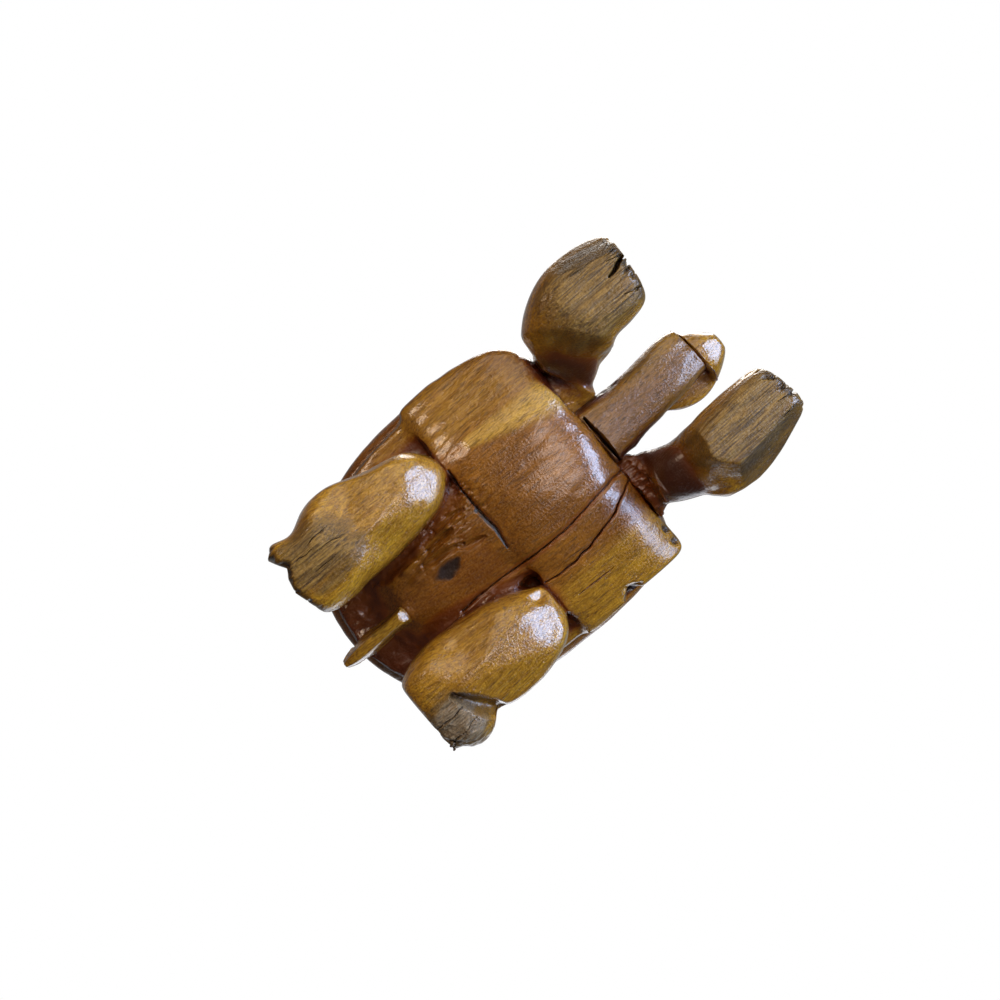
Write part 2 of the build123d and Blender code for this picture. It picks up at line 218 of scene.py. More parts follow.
def count_wood(pieces):
    """The wood of all the carved pieces in cells: 1 in the wood and 0 outside, with the first cell's
    place."""
    first = np.array(cad_low) / MM - BULK_MARGIN
    last = np.array(cad_high) / MM + BULK_MARGIN
    shape = np.ceil((last - first) / BULK_CELL).astype(int)
    cells = np.zeros(shape)
    half = BULK_CELL / 2
    levels = first[2] + np.arange(shape[2]) * BULK_CELL
    up = Vector((0, 0, 1))
    for piece in pieces:
        points = points_of(piece)
        faces = [tuple(face.vertices) for face in piece.data.polygons]
        tree = BVHTree.FromPolygons([Vector(p) for p in points], faces)
        i0, j0, _ = np.floor((points.min(0) - first) / BULK_CELL).astype(int)
        i1, j1, _ = np.ceil((points.max(0) - first) / BULK_CELL).astype(int)
        for i in range(i0, i1 + 1):
            for j in range(j0, j1 + 1):
                start = Vector((first[0] + i * BULK_CELL, first[1] + j * BULK_CELL, first[2]))
                hits = []
                hit = tree.ray_cast(start, up)[0]
                while hit is not None:
                    hits.append(hit.z)
                    hit = tree.ray_cast(hit + up * MM, up)[0]
                for low, high in zip(hits[::2], hits[1::2]):
                    top = np.minimum(levels + half, high)
                    cells[i, j] += np.clip(top - np.maximum(levels - half, low), 0, BULK_CELL) / BULK_CELL
    return np.minimum(cells, 1), first


def soften(cells, reach):
    """Cells blurred over a reach in mm."""
    spectrum = np.fft.rfftn(cells)
    waves = [np.fft.fftfreq(n) for n in cells.shape[:2]] + [np.fft.rfftfreq(cells.shape[2])]
    for axis, wave in enumerate(waves):
        fall = np.exp(-2 * (math.pi * wave * reach / BULK_CELL) ** 2)
        spectrum = spectrum * fall.reshape([-1 if a == axis else 1 for a in range(3)])
    return np.fft.irfftn(spectrum, cells.shape)


wooden = {node: even_copy(node) for node in MESH_CELLS}
fill_rump(wooden["body_block"])
wood_cells, first_cell = count_wood(wooden.values())
edge_cells = soften(wood_cells, EDGE_REACH)
shade_cells = soften(wood_cells, SHADE_REACH)


def fullness(cells, points):
    """How full of wood the surroundings of each point are, from 0 to 1."""
    at = np.clip((points - first_cell) / BULK_CELL, 0, np.array(cells.shape) - 1.001)
    return between_cells(cells, at, np.floor(at).astype(int))


def sink(piece, depth):
    """Moves each vertex into the wood by its own depth."""
    move_points(piece, points_of(piece) - normals_of(piece) * depth[:, None])


def paint(piece, name, values):
    """Keeps a value from 0 to 1 at each vertex, for the finish to read."""
    mesh = piece.data
    layer = mesh.attributes.get(name) or mesh.attributes.new(name, "FLOAT", "POINT")
    layer.data.foreach_set("value", np.clip(values, 0, 1).astype(np.float32))


def painted(piece, name):
    """The values kept under a name, or 0 where none were."""
    values = np.zeros(len(piece.data.vertices), np.float32)
    layer = piece.data.attributes.get(name)
    if layer:
        layer.data.foreach_get("value", values)
    return values.astype(float)


def paint_over(piece, name, values):
    """Raises the values kept under a name to the given ones, where those are higher."""
    paint(piece, name, np.maximum(painted(piece, name), values))


def sand(piece, rounds):
    """Smooths the whole surface a little."""
    smooth = piece.modifiers.new("sanding", "SMOOTH")
    smooth.factor = 0.5
    smooth.iterations = rounds
    settle(piece)


def wear(piece, node):
    """Rounds the edges and fills the corners where pieces meet. Faces glued inside the wood stay."""
    rounds = SANDING.get(node, USUAL_SANDING)
    share = WEAR_SHARES.get(node, 1.0)
    sand(piece, rounds)
    for _ in range(WEAR_PASSES):
        points = points_of(piece)
        full = fullness(edge_cells, points)
        free = 1 - ramp(0.8, 0.95, full)
        sink(piece, np.clip((0.5 - full) * WEAR, -MOST_WEAR, MOST_WEAR) * free * share)
    sand(piece, rounds)


def along(points, line):
    """Distance in plan from each point to a line of places, and the share of the line's length passed
    there."""
    line = np.array(line, float)
    lengths = np.linalg.norm(np.diff(line, axis=0), axis=1)
    passed = np.concatenate([[0], np.cumsum(lengths)])
    nearest = np.full(len(points), np.inf)
    share = np.zeros(len(points))
    for start, end, length, before in zip(line[:-1], line[1:], lengths, passed):
        run = (end - start) / length
        t = np.clip((points[:, :2] - start) @ run, 0, length)
        distance = np.linalg.norm(points[:, :2] - start - t[:, None] * run, axis=1)
        closer = distance < nearest
        nearest[closer] = distance[closer]
        share[closer] = (before + t[closer]) / passed[-1]
    return nearest, share


FINE_EDGE = 0.3  # edges shorter than this are fine enough for any cut


def refine(piece, near, cuts):
    """Divides the mesh's coarse edges between marked vertices, so that fine cuts can be made there."""
    shape = bmesh.new()
    shape.from_mesh(piece.data)
    edges = [e for e in shape.edges if near[e.verts[0].index] and near[e.verts[1].index]]
    edges = [e for e in edges if e.calc_length() > FINE_EDGE * MM]
    bmesh.ops.subdivide_edges(shape, edges=edges, cuts=cuts, use_grid_fill=True)
    shape.to_mesh(piece.data)
    shape.free()
    piece.data.shade_smooth()


CRACK_WANDER = 0.35
CRACK_BAND = 0.9  # how far past a crack's edges the mesh is refined


def crack(piece, line, opening, depth, seed, stain_and_shade=1.0, tint="stain_and_shade"):
    """A drying crack or knife groove seen from below: it wanders a little, and is widest in its middle."""

    def away():
        points = points_of(piece)
        wander = CRACK_WANDER * swell(points, (3, 3, 60), seed)
        return along(points + wander[:, None] * np.array([1.0, 0.3, 0]), line)

    near = (away()[0] < opening / 2 + CRACK_BAND) & (normals_of(piece)[:, 2] < -0.2)
    refine(piece, near, 2)
    distance, share = away()
    half = opening / 2 * (0.25 + 0.75 * np.sin(math.pi * np.clip(share, 0.04, 0.96)) ** 0.6)
    opened = ramp(0, 1, 1 - distance / half) * ramp(0.1, 0.35, -normals_of(piece)[:, 2])
    points = points_of(piece)
    points[:, 2] += depth * opened
    move_points(piece, points)
    # The opened crack is painted dark: painted shade in the gap, with stain
    paint_over(piece, tint, stain_and_shade * ramp(0.1, 0.6, opened))


def underside(piece, x, y):
    """The place on a piece's underside that lies nearest to x and y in plan."""
    points = points_of(piece)
    hidden = np.where(normals_of(piece)[:, 2] < -0.1, 0, 1e3)
    return points[(np.hypot(points[:, 0] - x, points[:, 1] - y) + hidden).argmin()]


DENT_WANDER = 0.3


def dent(piece, middle, half_sizes, depth):
    """A hollow of the given half sizes round a place. Returns how deep in it each vertex is, from 0 to 1."""
    points = points_of(piece)
    away = np.linalg.norm((points - np.array(middle)) / np.array(half_sizes), axis=1)
    inside = ramp(0, 1, 1 - away - DENT_WANDER * swell(points, (1.6, 2.6, 1.6), 57))
    sink(piece, inside * depth)
    return inside


def facet(piece, x, y, normal, depth, reach, softness):
    """A flat knife cut under x and y: wood within reach that stands past the cut's plane is taken off.

    Softness is how far the cut's edges are rubbed down.
    """
    normal = np.array(normal) / np.linalg.norm(normal)
    middle = underside(piece, x, y)
    points = points_of(piece)
    past = (points - middle) @ normal + depth
    taken = (past + np.sqrt(past ** 2 + softness ** 2)) / 2
    near = 1 - ramp(0.45, 1.0, np.linalg.norm(points - middle, axis=1) / reach)
    move_points(piece, points - (taken * near)[:, None] * normal)


# Flat knife cuts: place in plan, the way each faces, depth, reach, and how far its edges are rubbed down
FACETS = {
    "left_front_leg": [
        (32.0, -60, (0.75, -0.1, -0.66), 1.4, 28, 0.5),
        (31, -47, (0.5, 0.62, -0.6), 0.6, 13, 0.8),
    ],
    "right_front_leg": [(-40.5, -52, (-0.72, -0.2, -0.66), 1.2, 24, 0.5)],
    "right_rear_leg": [
        (-27.5, 31, (-0.35, -0.1, -0.93), 0.7, 24, 0.6),
        (-16.5, 29, (0.6, -0.1, -0.79), 1.0, 22, 0.6),
        (-23.0, 24.5, (0.17, -0.5, -0.85), 0.6, 15, 2.2),
    ],
    "left_rear_leg": [
        (18.5, 33, (-0.55, -0.08, -0.83), 0.9, 22, 0.6),
        (34.0, 35, (0.5, -0.08, -0.86), 0.8, 22, 0.6),
        (27.8, 24.0, (0.03, -0.5, -0.86), 0.4, 13, 2.2),
        (22.3, 17.8, (0.05, -0.49, -0.87), 0.9, 4, 0.3),
    ],
    "head": [(3.6, -70.4, (0.12, -0.31, -0.94), 0.7, 11, 1.0)],
    "tail": [(2.3, 52.0, (0.1, -0.545, -0.83), 0.9, 4, 0.4)],
}


def cut_facets(piece, node):
    """All the flat knife cuts on a piece."""
    for cut in FACETS[node]:
        facet(piece, *cut)


# Seeds, so that no two pieces have the same swells
PIECE_SEEDS = {node: 10 * i + 3 for i, node in enumerate(MESH_CELLS)}
ROUGH_CUT = 0.5  # height of the knife's cuts left in hollows


def carve_surface(piece, node):
    """The unevenness of hand carving, rough cuts in hollows, and the shade values that every piece has."""
    seed = PIECE_SEEDS[node]
    points = points_of(piece)
    free = 1 - ramp(0.8, 0.95, fullness(edge_cells, points))
    uneven = 0.3 * swell(points, (13, 17, 13), seed) + 0.05 * swell(points, (5, 8, 5), seed + 1)
    sink(piece, uneven * free)
    points, normals = points_of(piece), normals_of(piece)
    near = fullness(edge_cells, points + normals * 1.6)
    far = fullness(shade_cells, points + normals * 4.6)
    hollow_shade = np.maximum(ramp(0.3, 0.75, near), ramp(0.25, 0.55, far))
    cuts = rough_cuts(points, (1.8, 5, 1.8), (0.9, 2.4, 0.9), seed + 2)
    sink(piece, cuts * ROUGH_CUT * ramp(0.3, 0.8, hollow_shade) * free)
    around = fullness(shade_cells, points)
    # Painted shade, partly pooled varnish: darker in hollows and where the wood round a point is fuller
    paint(piece, "hollow_shade", np.maximum(hollow_shade, 0.5 * ramp(0.5, 0.66, around)))
    paint(piece, "exposed", free)
    paint(piece, "golden", GOLDEN_SHARES.get(node, 0.0) + 0.5 * (1 - ramp(0.26, 0.44, around)))


# How yellow each piece is, against the redder belly and neck
GOLDEN_SHARES = {
    "right_front_leg": 0.5,
    "left_front_leg": 0.5,
    "right_rear_leg": 0.7,
    "left_rear_leg": 0.55,
    "tail": 0.35,
    "neck": 0.2,
    "head": 0.25,
}
# Bare patches under the feet: middle and half sizes in plan, and splits along the grain in them
SOLES = {
    "right_front_leg": ((-31.5, -48.5), (17, 18), [
        [(-23.2, -64), (-24.6, -58.5), (-25.2, -55)],
        [(-29.3, -64), (-30.2, -58.5)],
        [(-34.5, -62), (-35.2, -57)],
        [(-38.2, -55), (-38.8, -47)],
    ]),
    "left_front_leg": ((24.0, -58.0), (15, 19), [
        [(18.4, -74), (18.8, -69.5)],
        [(22.0, -74), (21.6, -70)],
        [(25.6, -74), (25.2, -67.5)],
        [(28.6, -72.5), (29.0, -65)],
    ]),
    "right_rear_leg": ((-26.5, 56.5), (10, 15), [
        [(-31.2, 49), (-30.4, 58)],
        [(-28.4, 56), (-28.8, 64)],
        [(-26.6, 45.5), (-27.0, 55)],
        [(-23.2, 52), (-22.8, 60)],
    ]),
    "left_rear_leg": ((34.5, 58.5), (10, 10), [
        [(31.5, 53), (31.8, 64)],
        [(35.2, 52), (35.8, 63)],
    ]),
}
SPLIT_OPENING = 0.32
SPLIT_DEPTH = 0.9


CHIPPED_END = 5.0  # length of the broken ends of the toes
END_COLUMN = 2.0  # width of the strips in which a foot's end is found
LOW_END = 6.0  # level up to which it is looked for
CHIP_DEPTHS = {"right_front_leg": 1.5, "left_front_leg": 1.5, "right_rear_leg": 0.8}


def chip_end(piece, depth, seed):
    """Breaks fibres out of the end of a foot, the one away from the belly."""
    points = points_of(piece)
    away = points[:, 1] * np.sign(points[:, 1].mean())
    columns = np.floor(points[:, 0] / END_COLUMN).astype(int)
    columns -= columns.min()
    ends = np.full(columns.max() + 1, -np.inf)
    low = points[:, 2] < LOW_END
    np.maximum.at(ends, columns[low], away[low])
    length = CHIPPED_END * (0.6 + 0.5 * np.abs(swell(points, (2.5, 60, 20), seed + 2)))
    from_end = (ends[columns] - away) / length
    rows = np.abs(swell(points, (1.0, 30, 5), seed))
    toes = (1 - ramp(4, 7, ends.max() - ends[columns])) * (1 - ramp(3, 9, points[:, 2]))
    broken = ramp(0.25, 0.6, rows) * (1 - ramp(0.3, 1.0, from_end)) * toes
    sink(piece, depth * broken)
    # The broken fibres and ends are painted dark: stain and dirt, with painted shade
    paint_over(piece, "stain_and_shade", 0.75 * broken)
    paint_over(piece, "grime_and_shade", 0.65 * (1 - ramp(0.4, 1.0, from_end)) * toes)


def bare_sole(piece, node):
    """Worn sole with bare, open grain and drying splits."""
    middle, half_sizes, splits = SOLES[node]
    seed = PIECE_SEEDS[node] + 4
    points, normals = points_of(piece), normals_of(piece)
    ragged = 0.22 * swell(points, (2.5, 9, 4), seed) + 0.1 * swell(points, (0.8, 4, 2), seed + 5)
    away = np.linalg.norm((points[:, :2] - np.array(middle)) / np.array(half_sizes), axis=1)
    low = 1 - ramp(3.0, 7.5, points[:, 2] - SOLE_LEVEL)
    bare = ramp(0.3, 0.8, -normals[:, 2]) * (1 - ramp(0.55, 1.1, away + ragged)) * low
    ridges = rough_cuts(points, (0.9, 17, 0.9), (2.1, 24, 2.1), seed + 1)
    sink(piece, (0.34 * ridges) * bare)
    paint(piece, "bare", bare)
    if node in CHIP_DEPTHS:
        chip_end(piece, CHIP_DEPTHS[node], seed + 6)
    for i, line in enumerate(splits):
        crack(piece, line, SPLIT_OPENING, SPLIT_DEPTH, seed + 20 + i, 0.7)


# Cracks and grooves in the belly: places along each, widest opening, depth, dark paint of stain and painted
# shade, and width of the rolled sides
MAIN_CRACK = [
    (11.4, -30), (12.2, -21.5), (12.8, -15), (13.6, -7), (14.2, 0.3), (13.9, 10.4), (13.1, 21.2), (12.4, 31),
    (12.8, 38),
]
SECOND_CRACK = [
    (12.5, -36), (15.6, -26), (16.8, -22), (18.3, -18.5), (19.9, -15), (21.9, -7.2), (22.8, -1.4),
    (23.1, 3.5),
    (23.0, 9), (22, 13.8),
]
GRAIN_CRACK = [(32, -4.2), (31.9, 2), (31.4, 8.6)]
REAR_GROOVE = [(-21, 13.8), (-14, 14.6), (-6.8, 14.6), (1, 14.2), (7, 15.2)]
BELLY_CRACKS = [
    (MAIN_CRACK, 0.55, 3.0, 0.75, 4.0),
    (SECOND_CRACK, 0.55, 3.0, 0.95, 2.2),
    (GRAIN_CRACK, 0.35, 1.0, 0.8, 1.0),
    (REAR_GROOVE, 0.8, 1.2, 0.5, 3.0),
]
ROLL_DEPTH = 0.16  # of a rolled side's width
RIGHT_BEVEL, LEFT_BEVEL = 1.0, 8.5  # how far back the bevel along the belly's front edge reaches
BEVEL_SLOPE = 0.46
FLANGE_BEVEL = 1.3  # how much steeper it is on the left flange
BEVEL_SOFTNESS = 5.0
BEVEL_TOP = 22.0  # level up to which the bevel is cut in full
GLUE_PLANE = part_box("carapace")[0].z / MM
# Golden facet between the belly and the right flange, wider at the front
RIDGE = [(-19.0, -23), (-21.4, -9), (-23.6, 4)]
RIDGE_FRONT, RIDGE_REAR = 8.5, 2.6  # half widths
RIDGE_HEIGHT = 0.25
CHISELLED = [(-10, 15), (-9, 27), (-8, 40)]  # rough strokes left along the right of the rump
CHISELLED_HALF_WIDTH = 8.5
RUMP_MOST_SHADE = 0.72  # the most painted shade that the rump's hollows get
GOUGES = [  # long chisel strokes on the rump, with each one's width
    ([(-4.8, 38), (-3.6, 31), (-2.3, 24.5)], 4.0),
    ([(-7.9, 34), (-7.5, 24.5)], 3.6),
    ([(-1.6, 26), (0.4, 18.5)], 3.6),
    ([(-10.8, 29), (-9.8, 18)], 3.4),
]
GOUGE_DEPTH = 0.34  # of a stroke's width
KNOT = (1.0, 33.2)
PITS = [(34.6, -24.4), (39.0, -24.0)]
EDGE_CHIP = (44.5, -4.0, 27.0)


def bevel_front(piece):
    """Cuts a bevel along the belly's front edge, wider at its left."""
    points = points_of(piece)
    width = RIGHT_BEVEL + ramp(-4, 13, points[:, 0]) * (LEFT_BEVEL - RIGHT_BEVEL)
    inside = width - (points[:, 1] - FRONT_FACE)
    slope = BEVEL_SLOPE * (1 + (FLANGE_BEVEL - 1) * ramp(18, 28, points[:, 0]))
    lift = slope * (inside + np.sqrt(inside ** 2 + BEVEL_SOFTNESS ** 2)) / 2
    points[:, 2] += lift * np.clip((GLUE_PLANE - points[:, 2]) / (GLUE_PLANE - BEVEL_TOP), 0, 1)
    move_points(piece, points)


BULGE = 1.3
BULGE_MIDDLE = (0.0, -2.0)
BULGE_HALF_SIZES = (24.0, 23.0)


def bulge_belly(piece):
    """Rolls the middle of the belly out."""
    points = points_of(piece)
    away = np.linalg.norm((points[:, :2] - np.array(BULGE_MIDDLE)) / np.array(BULGE_HALF_SIZES), axis=1)
    points[:, 2] -= BULGE * np.clip(1 - away ** 2, 0, 1) * ramp(0.2, 0.6, -normals_of(piece)[:, 2])
    move_points(piece, points)


def carve_body(piece):
    """The belly's bevelled front, the ridge at its right, chisel strokes, cracks, a knot and chips."""
    bulge_belly(piece)
    bevel_front(piece)
    points = points_of(piece)
    facing = ramp(0.2, 0.5, -normals_of(piece)[:, 2])
    off_ridge, share = along(points, RIDGE)
    ridge = ramp(0, 0.8, 1 - off_ridge / (RIDGE_FRONT + share * (RIDGE_REAR - RIDGE_FRONT))) * facing
    sink(piece, -RIDGE_HEIGHT * ridge)
    flange = ramp(24, 29, np.abs(points[:, 0])) * (points[:, 2] < GLUE_PLANE - 1)
    paint_over(piece, "golden", np.maximum(ridge, 0.6 * flange))
    paint(piece, "bright", ridge)
    chiselled = ramp(0, 0.6, 1 - along(points, CHISELLED)[0] / CHISELLED_HALF_WIDTH)
    strokes = chiselled * facing * painted(piece, "exposed")
    cuts = rough_cuts(points, (1.4, 7, 3), (0.9, 3.6, 2), 41)
    sink(piece, (0.2 - 1.4 * cuts) * strokes)
    plate = ramp(30, 44, points[:, 1]) * ramp(23, 26, points[:, 2])
    rump = ramp(15, 20, points[:, 1]) * (1 - ramp(GLUE_PLANE - 4, GLUE_PLANE - 2, points[:, 2]))
    # Painted shade: capped in the rump's hollows, dark over the plate by the tail, a little over the rump
    hollow_shade = painted(piece, "hollow_shade")
    paint(piece, "hollow_shade", np.where(rump > 0, np.minimum(hollow_shade, RUMP_MOST_SHADE), hollow_shade))
    paint_over(piece, "hollow_shade", np.maximum(0.75 * plate, 0.25 * rump))
    lumps = rough_cuts(points, (3, 5, 3), (1.3, 2.2, 1.3), 43)
    sink(piece, 0.7 * lumps * plate * facing)
    # Painted shade: the steep walls round the hip plane are painted darker and duller
    steep = ramp(0.3, 0.6, 1 - np.abs(normals_of(piece)[:, 2]))
    paint_over(piece, "grime_and_shade", 0.6 * steep * ramp(HIP_PLANE - 1, HIP_PLANE + 1, points[:, 2]))
    # Gouges and the cracks' rolled sides get painted shade; the cracks are painted dark as stain and shade
    for i, (line, width) in enumerate(GOUGES):
        crack(piece, line, width, GOUGE_DEPTH * width, 80 + i, 0.3, "hollow_shade")
    for i, (line, opening, depth, stain_and_shade, rolled) in enumerate(BELLY_CRACKS):
        crack(piece, line, rolled, ROLL_DEPTH * rolled, 70 + i, 0.45, "hollow_shade")
        crack(piece, line, opening, depth, 70 + i, stain_and_shade)
    points = points_of(piece)
    # Painted shade: the step behind the belly is painted dark and dull where it faces forward
    step = ramp(13, 14, points[:, 1]) * (1 - ramp(19, 21, points[:, 1])) * (points[:, 2] < HIP_PLANE)
    paint_over(piece, "grime_and_shade", step * ramp(0.1, 0.3, -normals_of(piece)[:, 1]))
    # Dark stain in the knot, and stain with painted shade in the pits and the chip
    for place, half_sizes, depth, stain_and_shade in [
        (underside(piece, *KNOT), (3.2, 8.2, 7), 0.7, 0.95),
        (underside(piece, *PITS[0]), (2.2, 1.9, 3), 1.4, 0.8),
        (underside(piece, *PITS[1]), (2.2, 1.9, 3), 1.4, 0.8),
        (EDGE_CHIP, (6.0, 4.6, 14), 6.0, 0.75),
    ]:
        paint_over(piece, "stain_and_shade", stain_and_shade * ramp(0.1, 0.5, dent(piece, place, half_sizes, depth)))


# Each front foot's heel: a place on its edge, and the way from the ankle to the toes
HEELS = {
    "right_front_leg": ((-27.0, -36.5), (-0.67, -0.74)),
    "left_front_leg": ((25.0, -43.8), (0.15, -0.99)),
}
ANKLE_LENGTHS = {"right_front_leg": 11.0, "left_front_leg": 14.0}
ANKLE_LIFTS = {"right_front_leg": 6.5, "left_front_leg": 9.0}
LEG_TOP = 28.0
ANKLE_PINCH = 0.2  # share of its width that an ankle loses
# How much painted shade each root gets, where it grows out of the belly, and how deep the cuts left in it are
ROOT_SHADES = {"right_front_leg": 0.3, "left_front_leg": 0.62}
ROOT_CUTS = {"right_front_leg": 0.4, "left_front_leg": 1.0}


def cut_ankle(piece, node):
    """Cuts the underside away behind a front foot's heel, where shade is painted dark, and leaves the root
    rough.
    """
    points = points_of(piece)
    edge, outwards = HEELS[node]
    length = ANKLE_LENGTHS[node]
    behind = (np.array(edge) - points[:, :2]) @ np.array(outwards) + 0.8 * swell(points, (4, 4, 4), 51)
    root = ramp(length - 1, length + 3, behind)
    ankle = ramp(-1, 5, behind) * (1 - root)
    underneath = np.clip((LEG_TOP - points[:, 2]) / LEG_TOP, 0, 1)
    points[:, 2] += ANKLE_LIFTS[node] * ankle * underneath
    sideways = np.array([-outwards[1], outwards[0]])
    off = (points[:, :2] - np.array(edge)) @ sideways
    off -= np.average(off, weights=ankle)
    points[:, :2] -= (ANKLE_PINCH * ankle * off)[:, None] * sideways
    move_points(piece, points)
    # Painted shade under the ankle, behind the heel, and a set level of it at the root
    below = ramp(0.0, 0.5, -normals_of(piece)[:, 2])
    ankle_shade = ramp(0, 8, behind) * (1 - root) * below
    hollow_shade = painted(piece, "hollow_shade")
    paint(piece, "hollow_shade", hollow_shade + (ROOT_SHADES[node] - hollow_shade) * root)
    cuts = rough_cuts(points, (1.5, 4, 2.5), (0.9, 2, 1.4), 53)
    sink(piece, ROOT_CUTS[node] * cuts * root * painted(piece, "exposed"))
    paint_over(piece, "hollow_shade", 0.9 * ankle_shade)
    paint_over(piece, "grime_and_shade", 0.35 * ankle_shade)


def darken_side_facing(piece, outwards):
    """Greys and darkens the side of a foot that faces a way in plan."""
    points, normals = points_of(piece), normals_of(piece)
    side = ramp(0.2, 0.6, normals[:, :2] @ np.array(outwards)) * ramp(16, 24, FRONT_FACE - points[:, 1])
    paint_over(piece, "grime_and_shade", 0.85 * side * (0.75 + 0.25 * swell(points, (3, 9, 3), 52)))


def carve_left_front(piece):
    """An undercut ankle, and bevels down the foot's outer side."""
    cut_ankle(piece, "left_front_leg")
    cut_facets(piece, "left_front_leg")
    darken_side_facing(piece, (0.9, -0.4))


RIGHT_FRONT_CLEFT = [(-34.0, -64), (-32.8, -59.6), (-31.6, -55)]


def carve_right_front(piece):
    """An undercut ankle, and a cut down the foot's outer edge."""
    cut_ankle(piece, "right_front_leg")
    cut_facets(piece, "right_front_leg")
    crack(piece, RIGHT_FRONT_CLEFT, 1.8, 4.0, 66, 0.8)
    darken_side_facing(piece, (-1.0, 0.0))


RIGHT_REAR_LIT_STRIPE = [(-14.6, 62), (-14.6, 56), (-15.6, 47), (-17, 38)]
# How far back the right rear foot's toes reach at places along x, and where they start
RIGHT_REAR_TOES = [
    (-36, 68), (-34.6, 69.6), (-31.5, 68), (-29.2, 66.6), (-26.5, 68.6), (-22.5, 69.6), (-16, 67.4),
    (-11, 64),
]
TOES_START = 54.0


def stretch_toes(piece):
    """Draws the end of the right rear foot out to its two blunt toes."""
    points = points_of(piece)
    places, ends = np.transpose(RIGHT_REAR_TOES)
    reach = [points[np.abs(points[:, 0] - x) < 1, 1].max() for x in places]
    stretch = np.interp(points[:, 0], places, (ends - TOES_START) / (np.array(reach) - TOES_START))
    toes = points[:, 1] > TOES_START
    points[toes, 1] = TOES_START + (points[toes, 1] - TOES_START) * stretch[toes]
    move_points(piece, points)


def carve_right_rear(piece):
    """Flat cuts that meet in a crest, the knee's own cut, and a yellow stripe down the foot's inner edge,
    which is also a painted highlight.
    """
    stretch_toes(piece)
    cut_facets(piece, "right_rear_leg")
    points = points_of(piece)
    facing = ramp(0.1, 0.5, -normals_of(piece)[:, 2])
    lit_stripe = ramp(0, 0.8, 1 - along(points, RIGHT_REAR_LIT_STRIPE)[0] / 5) * facing
    paint_over(piece, "golden", 0.85 * lit_stripe)


STUB_SPREAD = 2.0  # how far the stub foot stands out to the side
LEFT_REAR_CREASE = [(27.5, 53.2), (30.5, 51.6), (34, 49.4), (39.7, 46.2), (42, 45)]


def carve_left_rear(piece):
    """Flat cuts that meet in a crest, the knee's cuts, the crease before the stub foot, and its raw end
    grain."""
    cut_facets(piece, "left_rear_leg")
    crack(piece, LEFT_REAR_CREASE, 6.0, 3.4, 61, 0.4)
    points = points_of(piece)
    points[:, 0] += STUB_SPREAD * ramp(45, 51, points[:, 1]) * ramp(30, 37, points[:, 0])
    move_points(piece, points)
    stub = ramp(49, 57, points[:, 1]) * ramp(25, 31, points[:, 0])
    lumps = np.abs(swell(points, (2.4, 6, 2.4), 63)) + 0.4 * np.abs(swell(points, (1.1, 2.4, 1.1), 64))
    sink(piece, (0.9 * lumps - 0.2) * stub)
    paint_over(piece, "stain_and_shade", 0.45 * stub * ramp(0.6, 1.0, lumps))
    paint(piece, "raw", np.maximum(painted(piece, "bare"), 0.7 * stub))
    paint_over(piece, "bare", 0.8 * stub)


EYES = [(-7.5, -68.0, 38.5), (9.8, -68.5, 38.5)]


def carve_head(piece):
    """A flat cut under the snout, and two drilled eyes."""
    for eye in EYES:
        points = points_of(piece)
        place = points[np.linalg.norm(points - np.array(eye), axis=1).argmin()]
        paint_over(piece, "stain_and_shade", 0.7 * ramp(0.2, 0.6, dent(piece, place, (1.9, 1.9, 1.9), 0.9)))
    cut_facets(piece, "head")


def carve_tail(piece):
    """A rubbed down keel, with a flat cut at its front end."""
    sand(piece, 8)
    # Less painted shade on the tail
    paint(piece, "hollow_shade", 0.3 * painted(piece, "hollow_shade"))
    cut_facets(piece, "tail")


NECK_GAP = [(-6.5, -26.5), (-2, -26.4), (5, -26.6), (9.5, -26.8)]


def carve_neck(piece):
    """The open line between the neck and the belly, painted dark as shade in the gap. The neck is duller than
    the belly.
    """
    crack(piece, NECK_GAP, 2.0, 5.0, 65)
    paint_over(piece, "grime_and_shade", np.full(len(piece.data.vertices), 0.3))


CARVERS = {
    "body_block": carve_body,
    "neck": carve_neck,
    "head": carve_head,
    "right_front_leg": carve_right_front,
    "left_front_leg": carve_left_front,
    "right_rear_leg": carve_right_rear,
    "left_rear_leg": carve_left_rear,
    "tail": carve_tail,
}


def add(tree, kind, inputs=None, **settings):
    """Adds a node with its settings. An input is a value, or a socket to link, by its name or number."""
    made = tree.nodes.new(kind)
    for name, value in settings.items():
        setattr(made, name, value)
    for name, value in (inputs or {}).items():
        if isinstance(value, bpy.types.NodeSocket):
            tree.links.new(value, made.inputs[name])
        else:
            made.inputs[name].default_value = value
    return made


# Knife strokes along the grain, in mm
STROKE_SPACING = 6.0
STROKE_LENGTH = 11.0
STROKE_HALF_WIDTH = 2.3
STROKE_DEPTH = 0.12
STROKE_TURN = 0.3  # radians that a stroke may turn off the grain
# Scute grooves on the shell, in shares of half its width and length, with the pattern's left half
SCUTE_LINES = [
    [(0.0, -0.93), (0.2, -0.82), (0.3, -0.62), (0.22, -0.44), (0.34, -0.22), (0.24, 0.0)],
    [(0.24, 0.0), (0.34, 0.22), (0.22, 0.42), (0.28, 0.58), (0.14, 0.74), (0.0, 0.8)],
    [(0.0, -0.44), (0.22, -0.44)],
    [(0.0, 0.0), (0.24, 0.0)],
    [(0.0, 0.42), (0.22, 0.42)],
    [(0.3, -0.62), (0.66, -0.74)],
    [(0.34, -0.22), (0.84, -0.26)],
    [(0.34, 0.22), (0.8, 0.26)],
    [(0.28, 0.58), (0.5, 0.64)],
    [(0.2, -0.82), (0.4, -0.86), (0.66, -0.74), (0.82, -0.5), (0.84, -0.26), (0.85, 0.0), (0.8, 0.26)],
    [(0.8, 0.26), (0.68, 0.48), (0.5, 0.64), (0.32, 0.76), (0.14, 0.74)],
]
SCUTE_HALF_WIDTH = 1.3
